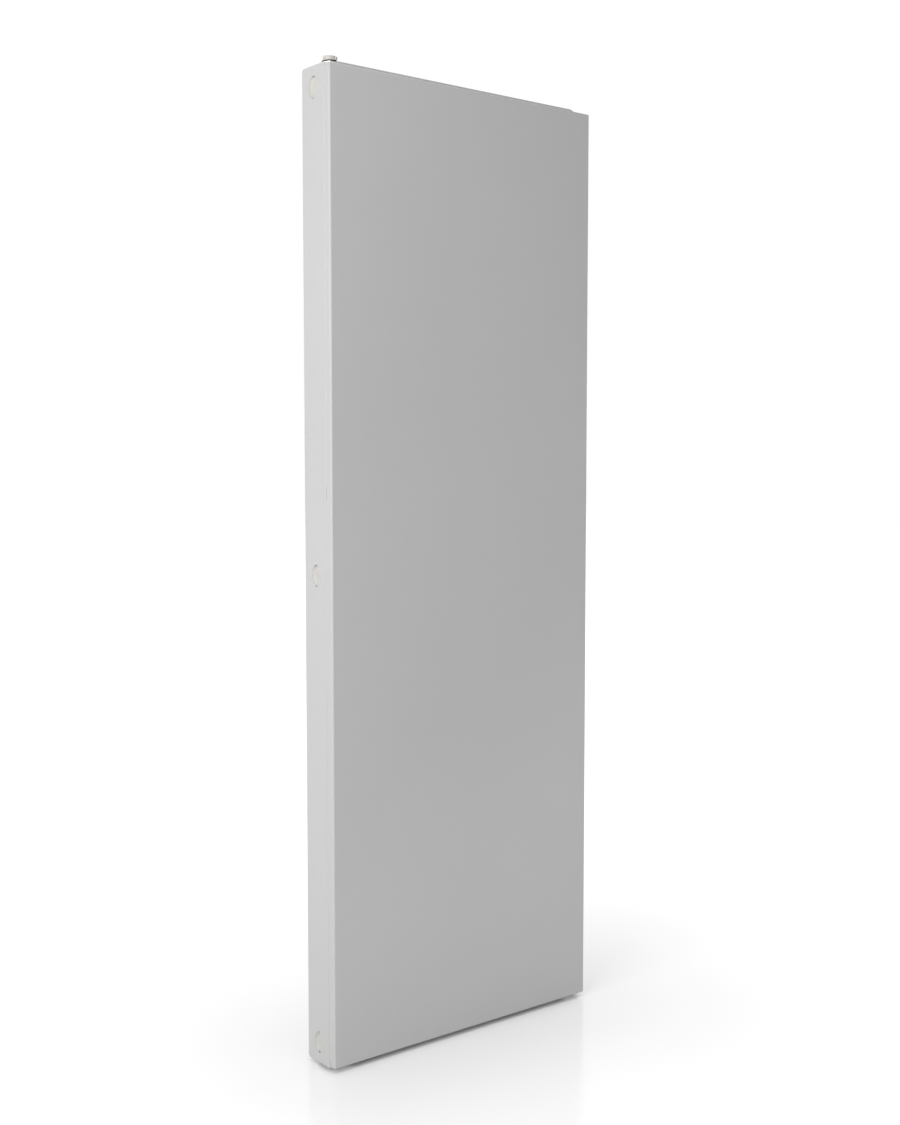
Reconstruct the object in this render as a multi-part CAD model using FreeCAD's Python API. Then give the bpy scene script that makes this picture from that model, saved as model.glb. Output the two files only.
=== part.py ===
import FreeCAD, Part
import math
import os

Vector = FreeCAD.Vector
X = Vector(1, 0, 0)
Y = Vector(0, 1, 0)
Z = Vector(0, 0, 1)

# Driving dimensions in millimetres. The front faces -Y, the wall side +Y, and Z = 0 is the floor.
# The origin is the middle of the base.

# Front plate: a flat tray of folded sheet
plate_width = 625.0
plate_height = 1800.0
plate_sheet = 1.5
plate_bend = 2.5
corner_draw = 2.0
corner_run = 18.0
plate_return = 16.0

# Core: two water panels, each of two pressed sheets
core_overhang = 9.0
core_side_gap = 12.5
core_corner_radius = 24.0
tray_gap = 1.0
panel_depth = 11.0
panel_sheet = 1.2
air_gap = 43.0
seam_flange = 10.0
channel_count = 14
channel_draft = 3.5
land_width = 10.0
land_chamfer = 3.0
field_chamfer = 9.0
header_height = 62.0

# Convectors: corrugated sheet, one fold on each channel
convector_sheet = 0.5
convector_depth = 19.5
convector_foot = 14.0
convector_draft = 3.0
convector_end_gap = 16.0

# Corner tees and their tappings for half-inch pipe thread
tee_inset = 22.0
tee_rise = 45.0
tee_block = 30.0
boss_radius = 14.0
port_side = 16.0
bore_radius = 7.5
tapping_radius = 9.5
tapping_length = 14.0
mouth_setback = 2.0

# Plugs
thread_clearance = 0.1
shank_length = 10.0
hex_across_flats = 24.0
plug_hex_height = 4.5

# Vent: plug with a turning outlet collar and a bleed screw
vent_hex_height = 6.0
vent_neck_flats = 17.0
vent_neck_height = 2.0
spigot_radius = 6.5
collar_radius = 12.2
collar_height = 7.4
collar_lift = 0.1
collar_lip = 0.8
collar_lip_height = 0.8
spout_side = 5.0
spout_bore = 2.6
spout_reach = 14.2
spout_turn = -60.0
running_clearance = 0.05
bleed_bore_radius = 4.5
bleed_square = 5.0
bleed_square_height = 6.0

# Side covers and their oval caps
cover_sheet = 1.2
cover_bend = 1.5
cover_overhang = 2.0
cover_seam = 0.8
cover_setback = 3.0
cover_lip = 11.0
cover_flange = 14.0
cover_corner_radius = 9.0
cap_width = 28.0
cap_height = 40.0
cap_gap = 0.4
cap_proud = 0.4
cap_end_radius = 11.0
cap_leg_sheet = 1.4
cap_leg = 5.0
cap_hook = 1.4
cap_leg_width = 8.0
cap_notch_width = 7.0
cap_notch_height = 3.5
cap_notch_depth = 1.0

# Rails between the front plate and the front panel
rail_sheet = 1.2
rail_length = 500.0
rail_crown = 24.0
rail_foot = 15.0
rail_draft = 4.0
rail_spacing = 600.0

# Clips that hold the side covers, spacers between the panels and lugs for hanging
clip_sheet = 1.0
clip_height = 20.0
clip_offset = 149.0
clip_leg = 8.0
clip_pad = 7.0
clip_notch_height = 22.0
clip_notch_depth = 1.5
spacer_sheet = 1.5
spacer_height = 40.0
spacer_width = 7.0
lug_sheet = 3.0
lug_gap = 6.0
lug_height = 40.0
lug_foot = 6.0
lug_end_distance = 220.0
lug_channel_count = 3

# Levels that follow from the dimensions above
core_width = plate_width - 2 * core_side_gap
core_height = plate_height + 2 * core_overhang
overall_depth = plate_return + tray_gap + 2 * panel_depth + air_gap + lug_gap + lug_sheet
front_y = -overall_depth / 2
back_y = overall_depth / 2
tray_y = front_y + plate_return
front_seam_y = tray_y + tray_gap + panel_depth / 2
rear_seam_y = front_seam_y + panel_depth + air_gap
tee_y = (front_seam_y + rear_seam_y) / 2
tee_x = core_width / 2 - tee_inset
plate_low = core_overhang
plate_high = core_overhang + plate_height
middle_z = core_height / 2
land_low = seam_flange + header_height
channel_pitch = 2 * tee_x / (channel_count - 1)
channel_centres = [index * channel_pitch - tee_x for index in range(channel_count)]
land_centres = [centre + channel_pitch / 2 for centre in channel_centres[:-1]]
bulge = panel_depth / 2
draft_slope = channel_draft / bulge
wall_run = panel_sheet * math.hypot(1, draft_slope)
cover_front_y = tray_y + cover_seam
cover_back_y = back_y - cover_setback
cover_inner_x = plate_width / 2 - cover_sheet
cap_heights = [tee_rise, middle_z, core_height - tee_rise]
margin = 1.0


def corner_arc(before, corner, after, radius):
    """Start, middle and end of the arc that rounds a corner."""
    into = (corner - before).normalize()
    out = (after - corner).normalize()
    half_turn = into.getAngle(out) / 2
    inward = (out - into).normalize()
    reach = radius * math.tan(half_turn)
    sink = radius / math.cos(half_turn) - radius
    return corner - into * reach, corner + inward * sink, corner + out * reach


def rounded_edges(points, radii, closed):
    """Straight runs joined by tangent arcs. A radius of zero leaves a sharp corner."""
    count = len(points)
    corners = []
    for index, (point, radius) in enumerate(zip(points, radii)):
        at_end = not closed and index in (0, count - 1)
        if at_end or radius == 0:
            corners.append((point, None, point))
        else:
            corners.append(corner_arc(points[index - 1], point, points[(index + 1) % count], radius))
    edges = []
    for index, (start, middle, end) in enumerate(corners):
        if middle is not None:
            edges.append(Part.Arc(start, middle, end).toShape())
        if closed or index < count - 1:
            following = corners[(index + 1) % count][0]
            if end.distanceToPoint(following) > 1e-6:
                edges.append(Part.LineSegment(end, following).toShape())
    return edges


def closed_face(edges):
    """Flat face inside a loop of edges."""
    return Part.Face(Part.Wire(Part.sortEdges(edges)[0]))


def polygon_face(points):
    """Flat face inside a closed polygon."""
    return Part.Face(Part.makePolygon(points + points[:1]))


def folded_strip(line, bend, sheet, run):
    """Folded sheet: its section lies on the left of the line, seen against the run that pushes it.

    The bend is the inside radius of every fold. A bend of zero leaves the folds sharp.
    """
    axis = Vector(run).normalize()
    outer_bend = bend + sheet if bend else 0
    directions = [(end - start).normalize() for start, end in zip(line, line[1:])]
    sides = [axis.cross(direction) for direction in directions]
    inner = [line[0] + sides[0] * sheet]
    line_radii = [0]
    inner_radii = [0]
    for index in range(1, len(line) - 1):
        one, two = sides[index - 1], sides[index]
        inner.append(line[index] + (one + two) * (sheet / (1 + one.dot(two))))
        turns_left = directions[index - 1].cross(directions[index]).dot(axis) > 0
        line_radii.append(outer_bend if turns_left else bend)
        inner_radii.append(bend if turns_left else outer_bend)
    inner.append(line[-1] + sides[-1] * sheet)
    edges = rounded_edges(line, line_radii + [0], False)
    edges.append(Part.LineSegment(line[-1], inner[-1]).toShape())
    edges += rounded_edges(inner[::-1], (inner_radii + [0])[::-1], False)
    edges.append(Part.LineSegment(inner[0], line[0]).toShape())
    return closed_face(edges).extrude(run)


def block(low, high):
    """Rectangular block between two opposite corners."""
    size = high - low
    return Part.makeBox(size.x, size.y, size.z, low)


def square_bar(side, start, length):
    """Square bar along Y from the middle of its front end."""
    return Part.makeBox(side, length, side, start - (X + Z) * (side / 2))


def hexagon(across_flats, low, high):
    """Hexagonal prism about the Z axis."""
    corner_radius = across_flats / math.sqrt(3)
    points = []
    for index in range(6):
        angle = math.radians(60 * index)
        points.append(Vector(corner_radius * math.cos(angle), corner_radius * math.sin(angle), low))
    return polygon_face(points).extrude(Z * (high - low))


def chamfered_outline(half_width, low, high, level_y, chamfer, run, centre=0):
    """Closed wire of an upright rectangle whose corners are cut by a chamfer across and its run in height."""
    points = []
    for side, end in ((-1, -1), (1, -1), (1, 1), (-1, 1)):
        tip = Vector(centre + side * (half_width - chamfer), level_y, low if end < 0 else high)
        shoulder = Vector(centre + side * half_width, level_y, tip.z - end * run)
        points += [tip, shoulder] if side * end < 0 else [shoulder, tip]
    return Part.makePolygon(points + points[:1])


def tray_block(inset, bend, back):
    """Block in the shape of the tray, made smaller by an inset: rounded front edges, drawn-in corners."""
    half = plate_width / 2 - inset
    low = plate_low + inset
    high = plate_high - inset
    front = front_y + inset
    radii = [0, bend, bend, 0]
    across = [Vector(-half, back, low), Vector(-half, front, low),
              Vector(half, front, low), Vector(half, back, low)]
    upright = [Vector(-half, back, low), Vector(-half, front, low),
               Vector(-half, front, high), Vector(-half, back, high)]
    level = closed_face(rounded_edges(across, radii, True)).extrude(Z * (high - low))
    outline = Part.Face(chamfered_outline(half, low, high, front, corner_draw, corner_run))
    tray = level.common(closed_face(rounded_edges(upright, radii, True)).extrude(X * (2 * half)))
    return tray.common(outline.extrude(Y * (back - front)))


def front_plate():
    """Flat plate with side, top and bottom returns, which meet in closed corners."""
    half = plate_width / 2
    plate = tray_block(0, plate_bend + plate_sheet, tray_y)
    plate = plate.cut(tray_block(plate_sheet, plate_bend, tray_y + margin))
    notch_z = middle_z + clip_offset
    notches = block(Vector(-half - margin, tray_y - clip_notch_depth, notch_z - clip_notch_height / 2),
                    Vector(half + margin, tray_y + margin, notch_z + clip_notch_height / 2))
    return plate.cut(notches).removeSplitter()


def plate_rail(height):
    """Hat-shaped rail: its feet lie on the plate's inner face and its crown on the panel's channels."""
    foot_y = front_y + plate_sheet
    crown_y = front_seam_y - bulge - rail_sheet
    start = -rail_length / 2
    profile = []
    for end in (1, -1):
        side = [(foot_y, rail_crown / 2 + rail_draft + rail_foot), (foot_y, rail_crown / 2 + rail_draft),
                (crown_y, rail_crown / 2)]
        for depth, rise in side[::end]:
            profile.append(Vector(start, depth, height + end * rise))
    return folded_strip(profile, 0, rail_sheet, X * rail_length)


def field(seam_y, side, offset, start, end):
    """Drafted field of the channels between two levels above the seam, drawn in by an offset."""
    wires = []
    for level in (start, end):
        inset = seam_flange + offset + draft_slope * level
        wires.append(chamfered_outline(core_width / 2 - inset, inset, core_height - inset,
                                       seam_y + side * level, field_chamfer, field_chamfer))
    return Part.makeLoft(wires, True, True)


def valley(centre, seam_y, side, offset, start, end):
    """Drafted hollow over one seam land between two levels above the seam, widened by an offset."""
    wires = []
    for level in (start, end):
        spread = offset + draft_slope * (level - panel_sheet)
        wires.append(chamfered_outline(land_width / 2 + spread,
                                       land_low - spread, core_height - land_low + spread,
                                       seam_y + side * level, land_chamfer, land_chamfer, centre))
    return Part.makeLoft(wires, True, True)


def pressed_sheet(seam_y, side, ported):
    """One sheet of a water panel: upright channels between a lower and an upper header."""
    half_width = core_width / 2
    corners = [Vector(-half_width, seam_y, 0), Vector(half_width, seam_y, 0),
               Vector(half_width, seam_y, core_height), Vector(-half_width, seam_y, core_height)]
    flat = closed_face(rounded_edges(corners, [core_corner_radius] * 4, True))
    skin = flat.extrude(Y * (side * panel_sheet)).fuse(field(seam_y, side, 0, 0, bulge))
    skin = skin.cut([valley(centre, seam_y, side, 0, panel_sheet, bulge + margin)
                     for centre in land_centres])
    water = field(seam_y, side, wall_run, -margin, bulge - panel_sheet)
    water = water.cut([valley(centre, seam_y, side, wall_run, -2 * margin, bulge)
                       for centre in land_centres])
    sheet = skin.cut(water)
    if ported:
        for x in (-tee_x, tee_x):
            for z in (tee_rise, core_height - tee_rise):
                sheet = sheet.cut(square_bar(port_side, Vector(x, seam_y - bulge, z), 2 * bulge))
    return sheet.removeSplitter()


def convector(side):
    """Corrugated sheet whose feet lie on the inner channels of one panel."""
    seam_y = front_seam_y if side > 0 else rear_seam_y
    foot_y = seam_y + side * bulge
    crest_y = foot_y + side * (convector_depth - convector_sheet)
    low = tee_rise + tee_block / 2 + convector_end_gap
    line = []
    for centre in channel_centres:
        half = convector_foot / 2
        line += [(centre - half - convector_draft, crest_y), (centre - half, foot_y),
                 (centre + half, foot_y), (centre + half + convector_draft, crest_y)]
    points = [Vector(side * x, y, low) for x, y in line[1:-1]]
    return folded_strip(points, 0, convector_sheet, Z * (core_height - 2 * low))


def tee_mouth(side, end):
    """Middle of a corner tee's threaded mouth."""
    return Vector(side * tee_x, tee_y, mouth_setback if end < 0 else core_height - mouth_setback)


def corner_tee(side, end):
    """Square block between the two panels with an upright threaded boss."""
    mouth = tee_mouth(side, end)
    inner_y = front_seam_y + bulge
    length = rear_seam_y - bulge - inner_y
    centre = Vector(mouth.x, inner_y, tee_rise if end < 0 else core_height - tee_rise)
    reach = abs(centre.z - mouth.z)
    boss = Part.makeCylinder(boss_radius, reach, mouth, Z * -end)
    body = square_bar(tee_block, centre, length).fuse(boss)
    waterways = [square_bar(port_side, centre, length),
                 Part.makeCylinder(bore_radius, reach, mouth, Z * -end),
                 Part.makeCylinder(tapping_radius, tapping_length, mouth, Z * -end)]
    return body.cut(waterways).removeSplitter()


def blanking_plug(mouth):
    """Plug with a hexagonal head that closes an upper tapping."""
    shank = Part.makeCylinder(tapping_radius - thread_clearance, shank_length, Z * -shank_length)
    plug = shank.fuse(hexagon(hex_across_flats, 0, plug_hex_height)).removeSplitter()
    return plug.translated(mouth)


def vent_levels():
    """Heights of the collar's foot, the lip over it and the vent's top above the tapping's mouth."""
    foot = vent_hex_height + vent_neck_height + collar_lift
    lip_low = foot + collar_height + collar_lift
    return foot, lip_low, lip_low + collar_lip_height


def vent_plug(mouth):
    """Plug with a hexagon, a neck, and a spigot that carries the outlet collar under a lip."""
    lip_low, top = vent_levels()[1:]
    steps = [(tapping_radius - thread_clearance, -shank_length, 0),
             (spigot_radius, vent_hex_height, lip_low), (spigot_radius + collar_lip, lip_low, top)]
    plug = hexagon(hex_across_flats, 0, vent_hex_height)
    plug = plug.fuse(hexagon(vent_neck_flats, vent_hex_height, vent_hex_height + vent_neck_height))
    plug = plug.fuse([Part.makeCylinder(radius, high - low, Z * low) for radius, low, high in steps])
    bore = Part.makeCylinder(bleed_bore_radius, shank_length + top, Z * -shank_length)
    return plug.cut(bore).removeSplitter().translated(mouth)


def spout_bar(side, level):
    """Square bar along X from the vent's axis to the end of the spout."""
    return block(Vector(0, -side / 2, level - side / 2), Vector(spout_reach, side / 2, level + side / 2))


def vent_outlet(mouth):
    """Collar that turns on the vent's spigot and throws the water out of its spout."""
    low = vent_levels()[0]
    spout_z = low + collar_height / 2
    outlet = Part.makeCylinder(collar_radius, collar_height, Z * low)
    outlet = outlet.fuse(spout_bar(spout_side, spout_z))
    hollow = Part.makeCylinder(spigot_radius + running_clearance, collar_height, Z * low)
    outlet = outlet.cut([hollow, spout_bar(spout_bore, spout_z)]).removeSplitter()
    return outlet.rotated(Vector(), Z, spout_turn).translated(mouth)


def bleed_screw(mouth):
    """Screw in the vent's bore with a square for the key."""
    top = vent_levels()[2]
    shoulder = top - bleed_square_height
    half = bleed_square / 2
    radius = bleed_bore_radius - running_clearance
    shank = Part.makeCylinder(radius, shoulder + shank_length, Z * -shank_length)
    square = block(Vector(-half, -half, shoulder), Vector(half, half, top))
    return shank.fuse(square).removeSplitter().translated(mouth)


def oval_prism(side, z, inset, inner_x, outer_x):
    """Upright oval prism of four tangent arcs, drawn in by an inset, between two distances in X."""
    half_width = cap_width / 2 - inset
    half_height = cap_height / 2 - inset
    end_radius = cap_end_radius - inset
    lift = half_height - end_radius
    flank_radius = (half_width ** 2 + lift ** 2 - end_radius ** 2) / (2 * (half_width - end_radius))
    slant = math.atan2(lift, flank_radius - half_width)
    shift_y = end_radius * math.cos(slant)
    shift_z = lift + end_radius * math.sin(slant)
    centre = Vector(side * inner_x, tee_y, z)
    edges = []
    for way in (-1, 1):
        flank = [centre + Vector(0, way * shift_y, end * shift_z) for end in (-1, 1)]
        tip = [centre + Vector(0, end * shift_y, way * shift_z) for end in (-1, 1)]
        edges.append(Part.Arc(flank[0], centre + Y * (way * half_width), flank[1]).toShape())
        edges.append(Part.Arc(tip[0], centre + Z * (way * half_height), tip[1]).toShape())
    return closed_face(edges).extrude(X * (side * (outer_x - inner_x)))


def side_cover(side):
    """Folded cover over one side, with oval openings at the tappings and at mid-height."""
    half = plate_width / 2
    low = plate_low - cover_overhang
    high = plate_high + cover_overhang
    section = [(half - cover_lip, cover_front_y), (half, cover_front_y), (half, cover_back_y),
               (half - cover_flange, cover_back_y)]
    points = [Vector(side * x, y, low) for x, y in section[::side]]
    cover = folded_strip(points, cover_bend, cover_sheet, Z * (high - low))
    start = side * (half - cover_flange - margin)
    corners = [Vector(start, cover_front_y, low), Vector(start, cover_back_y, low),
               Vector(start, cover_back_y, high), Vector(start, cover_front_y, high)]
    radii = [0, cover_corner_radius, cover_corner_radius, 0]
    reach = side * (cover_flange + 2 * margin)
    cover = cover.common(closed_face(rounded_edges(corners, radii, True)).extrude(X * reach))
    for z in cap_heights:
        cover = cover.cut(oval_prism(side, z, 0, cover_inner_x - margin, half + margin))
    return cover.removeSplitter()


def side_cap(side, z):
    """Oval push-in cap with two hooked legs behind the cover and two notches to prise it out."""
    outer_x = plate_width / 2 + cap_proud
    leg_x = cover_inner_x - cap_leg
    root = cap_height / 2 - cap_gap
    tip = cap_height / 2 + cap_hook
    hook = [(cover_inner_x, root - cap_leg_sheet), (cover_inner_x, tip),
            (leg_x, root), (leg_x, root - cap_leg_sheet)]
    cap = oval_prism(side, z, cap_gap, cover_inner_x, outer_x)
    for end in (-1, 1):
        profile = [Vector(side * x, tee_y - cap_leg_width / 2, z + end * rise) for x, rise in hook]
        cap = cap.fuse(polygon_face(profile).extrude(Y * cap_leg_width))
        notch = Part.makeBox(2 * cap_notch_depth, cap_notch_width, 2 * cap_notch_height)
        cap = cap.cut(notch.translated(Vector(side * outer_x - cap_notch_depth, tee_y - cap_notch_width / 2,
                                              z + end * cap_height / 2 - cap_notch_height)))
    return cap.removeSplitter()


def cover_clip(side, z):
    """Bent clip on the front panel's seam that the side cover's front lip hooks over."""
    leg_y = front_seam_y + panel_sheet
    pad_y = cover_front_y + cover_sheet + clip_sheet
    bend_x = cover_inner_x - cover_bend - clip_sheet
    section = [(bend_x - clip_pad, pad_y), (bend_x, pad_y),
               (bend_x, leg_y), (core_width / 2 - clip_leg, leg_y)]
    points = [Vector(side * x, y, z - clip_height / 2) for x, y in section[::-side]]
    return folded_strip(points, 0, clip_sheet, Z * clip_height)


def panel_spacer(side):
    """Channel-shaped spacer between the seams of the two panels at mid-height."""
    start = front_seam_y + panel_sheet
    length = rear_seam_y - panel_sheet - start
    outer_x = core_width / 2 - (seam_flange - spacer_width) / 2
    inner_x = outer_x - spacer_width
    half = spacer_height / 2
    section = [(outer_x, -half), (inner_x, -half), (inner_x, half), (outer_x, half)]
    points = [Vector(side * x, start, middle_z + rise) for x, rise in section[::side]]
    return folded_strip(points, 0, spacer_sheet, Y * length)


def hanging_lug(side, end):
    """Strap that bridges one channel of the rear panel, for a wall hook to enter."""
    centre = side * channel_centres[-lug_channel_count]
    foot_y = rear_seam_y + panel_sheet
    bridge_y = rear_seam_y + bulge + lug_gap
    inner = channel_pitch / 2 - land_width / 2 + (land_width - lug_foot - lug_sheet) / 2
    outer = inner + lug_sheet + lug_foot
    base = lug_end_distance if end < 0 else core_height - lug_end_distance
    section = [(-outer, foot_y), (-inner, foot_y), (-inner, bridge_y),
               (inner, bridge_y), (inner, foot_y), (outer, foot_y)]
    points = [Vector(centre + x, y, base - lug_height / 2) for x, y in section]
    return folded_strip(points, 0, lug_sheet, Z * lug_height)


def all_parts():
    """Every piece by its node name; a list is a group of like pieces."""
    parts = {
        "front_plate": front_plate(),
        "front_panel_front_sheet": pressed_sheet(front_seam_y, -1, False),
        "front_panel_rear_sheet": pressed_sheet(front_seam_y, 1, True),
        "rear_panel_front_sheet": pressed_sheet(rear_seam_y, -1, True),
        "rear_panel_rear_sheet": pressed_sheet(rear_seam_y, 1, False),
        "front_convector": convector(1),
        "rear_convector": convector(-1),
    }
    for name, step in (("lower", -1), ("middle", 0), ("upper", 1)):
        parts[name + "_plate_rail"] = plate_rail(middle_z + step * rail_spacing)
    for side_name, side in (("left", -1), ("right", 1)):
        parts[side_name + "_side_cover"] = side_cover(side)
        parts[side_name + "_caps"] = [side_cap(side, z) for z in cap_heights]
        parts[side_name + "_cover_clips"] = [cover_clip(side, middle_z + step * clip_offset)
                                             for step in (-1, 1)]
        parts[side_name + "_panel_spacer"] = panel_spacer(side)
        parts[side_name + "_tees"] = [corner_tee(side, end) for end in (-1, 1)]
        for end_name, end in (("bottom", -1), ("top", 1)):
            parts["_".join((side_name, end_name, "lug"))] = hanging_lug(side, end)
    parts["vent_plug"] = vent_plug(tee_mouth(-1, 1))
    parts["vent_outlet"] = vent_outlet(tee_mouth(-1, 1))
    parts["bleed_screw"] = bleed_screw(tee_mouth(-1, 1))
    parts["blanking_plug"] = blanking_plug(tee_mouth(1, 1))
    return parts


os.makedirs("parts", exist_ok=True)
for node, shape in all_parts().items():
    piece = Part.makeCompound(shape) if isinstance(shape, list) else shape
    piece.exportStep("parts/" + node + ".step")
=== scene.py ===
"""Looks of a tall flat-fronted panel radiator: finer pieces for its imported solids, finishes and a studio."""
import math
import bmesh
import bpy
from bpy.props import FloatProperty, FloatVectorProperty, IntProperty, PointerProperty
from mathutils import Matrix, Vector


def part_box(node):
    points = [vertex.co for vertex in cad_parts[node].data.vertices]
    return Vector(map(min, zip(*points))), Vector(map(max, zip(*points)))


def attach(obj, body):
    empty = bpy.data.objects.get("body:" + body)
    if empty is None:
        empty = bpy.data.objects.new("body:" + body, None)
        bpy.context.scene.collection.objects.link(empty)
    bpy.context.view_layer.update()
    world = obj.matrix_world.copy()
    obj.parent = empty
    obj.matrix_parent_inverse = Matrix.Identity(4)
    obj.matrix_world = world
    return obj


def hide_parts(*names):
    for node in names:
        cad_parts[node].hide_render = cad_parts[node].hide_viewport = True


bl_info = {
    "name": "Panel Radiator",
    "version": (1, 0, 0),
    "blender": (4, 5, 0),
    "location": "View3D > Sidebar > Radiator",
    "description": "Builds a vertical panel radiator piece by piece, with its finishes and a studio",
    "category": "Object",
}

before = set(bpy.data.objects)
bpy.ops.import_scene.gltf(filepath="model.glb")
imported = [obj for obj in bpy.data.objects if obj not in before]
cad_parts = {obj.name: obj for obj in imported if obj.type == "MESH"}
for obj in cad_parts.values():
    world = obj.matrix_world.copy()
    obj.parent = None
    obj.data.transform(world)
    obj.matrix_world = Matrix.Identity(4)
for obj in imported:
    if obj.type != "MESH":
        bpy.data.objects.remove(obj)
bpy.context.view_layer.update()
RADIATOR = "radiator"
MERGE_DISTANCE = 1e-6
FLAT_ANGLE = math.radians(1)
SMOOTH_ANGLE = math.radians(38)
EDGE_ANGLE = math.radians(32)
FLAT_FACE_WEIGHT = 100
TINY = 1e-5
SIDES = {"left": -1, "right": 1}
CAPS_ON_A_SIDE = 3
PANEL_SHEETS = (("front_panel_front_sheet", -1), ("front_panel_rear_sheet", 1),
                ("rear_panel_front_sheet", -1), ("rear_panel_rear_sheet", 1))
RAILS = ("lower_plate_rail", "middle_plate_rail", "upper_plate_rail")
LUGS = ("left_bottom_lug", "left_top_lug", "right_bottom_lug", "right_top_lug")

# How finely the curved forms are divided
EDGE_STEPS = 2
BLOCK_EDGE_STEPS = 3
OUTLET_EDGE_STEPS = 4
BEND_STEPS = 4
CAP_AROUND = 96
CAP_RIM_STEPS = 6
CAP_SLOPE_STEPS = 8
CHANNEL_COLUMNS = 20
PANEL_ROWS = 81
WELD_AROUND = 14
WASHER_AROUND = 72
WASHER_STEPS = 8


def length(name, description, default):
    """A size in metres."""
    return FloatProperty(name=name, description=description, default=default, unit="LENGTH", precision=5)


def colour(name, description, default):
    """A linear colour."""
    return FloatVectorProperty(name=name, description=description, default=default, subtype="COLOR", size=3)


def factor(name, description, default):
    """A share from none to all."""
    return FloatProperty(name=name, description=description, default=default, subtype="FACTOR", min=0, max=1)


def point(name, description, default):
    """A place in metres."""
    return FloatVectorProperty(name=name, description=description, default=default, subtype="XYZ",
                               unit="LENGTH")


def span(name, description, default):
    """A lower and an upper end in metres."""
    return FloatVectorProperty(name=name, description=description, default=default, size=2, unit="LENGTH")


def power(name, description, default):
    """A lamp's power in watts."""
    return FloatProperty(name=name, description=description, default=default, unit="POWER")


class RadiatorSizes(bpy.types.PropertyGroup):
    """Sizes of the sheet-metal details."""
    edge: length("Edge Radius", "Rounding of the coated sheets' cut edges", 0.0005)
    block_edge: length("Block Edge", "Rounding of the corner tees' edges", 0.0015)
    fitting_edge: length("Fitting Edge", "Rounding of the plugs' and screw's edges", 0.0004)
    outlet_edge: length("Outlet Edge", "Rounding of the vent outlet's edges", 0.0009)
    panel_sheet: length("Panel Sheet", "Thickness of the water panels' sheets", 0.0012)
    panel_channels: IntProperty(name="Channels", description="Upright channels in a panel", default=14, min=2)
    panel_flange: length("Seam Flange", "Flat rim round a panel", 0.010)
    panel_header: length("Header", "Height of a panel's lower and upper header", 0.062)
    panel_corner: length("Panel Corner", "Corner radius of a panel's rim", 0.024)
    land_width: length("Land Width", "Width of the welded lands between the channels", 0.010)
    land_draft: length("Land Draft", "Run of the pressed walls", 0.0035)
    weld_radius: length("Weld Mark", "Radius of a spot weld's mark", 0.0026)
    weld_top: factor("Weld Top", "Share of a spot weld's radius that its flat top has", 0.72)
    weld_height: length("Weld Height", "Height of a spot weld's rim", 0.0003)
    weld_spacing: length("Weld Spacing", "Distance between spot welds along a land", 0.048)
    convector_sheet: length("Convector Sheet", "Thickness of the corrugated sheets", 0.0005)
    convector_foot: length("Convector Foot", "Width of a fold's foot on its channel", 0.014)
    convector_draft: length("Convector Draft", "Run of a fold's walls", 0.003)
    convector_bend: length("Convector Bend", "Bend radius of the folds", 0.0016)
    rail_sheet: length("Rail Sheet", "Thickness of the plate rails", 0.0012)
    rail_crown: length("Rail Crown", "Width of a rail's crown", 0.024)
    rail_foot: length("Rail Foot", "Width of a rail's foot", 0.015)
    rail_bend: length("Rail Bend", "Bend radius of the rails", 0.0016)
    lug_sheet: length("Lug Sheet", "Thickness of the hanging lugs", 0.003)
    lug_foot: length("Lug Foot", "Width of a lug's foot on the panel", 0.006)
    lug_bend: length("Lug Bend", "Bend radius of the lugs", 0.002)
    cap_width: length("Cap Width", "Width of a cap's opening", 0.028)
    cap_height: length("Cap Height", "Height of a cap's opening", 0.040)
    cap_end: length("Cap End", "Radius of a cap's upper and lower end", 0.011)
    cap_gap: length("Cap Gap", "Gap round a cap", 0.0004)
    cap_drop: length("Cap Drop", "How far a cap sits below the middle of its opening", 0.00035)
    cap_proud: length("Cap Height Over Cover", "How far a cap's rim stands proud of its cover", 0.0004)
    cap_rim: length("Cap Rim", "Width of the rounding at a cap's edge", 0.0018)
    cap_round: length("Cap Rounding", "Height of the rounding at a cap's edge", 0.0012)
    cap_crown: length("Cap Crown", "Width of the flat top of a cap's rim", 0.0004)
    cap_slope: length("Cap Slope", "Run of the wall inside a cap's rim", 0.0024)
    cap_dish: length("Cap Dish", "Depth of a cap's sunken face below its rim", 0.0026)
    cap_hook: length("Cap Hook", "How far a cap's legs hook behind its cover", 0.0014)
    notch_width: length("Notch Width", "Width of the notches at a cap's ends", 0.007)
    notch_depth: length("Notch Depth", "Depth of the notches at a cap's ends", 0.0026)
    washer_radius: length("Washer Radius", "Outer radius of the vent's washer", 0.0139)
    washer_bore: length("Washer Bore", "Inner radius of the vent's washer", 0.0101)
    washer_height: length("Washer Height", "Thickness of the vent's washer", 0.0014)
    washer_gap: length("Washer Gap", "From the washer to the outlet above it", 0.0002)


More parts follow.
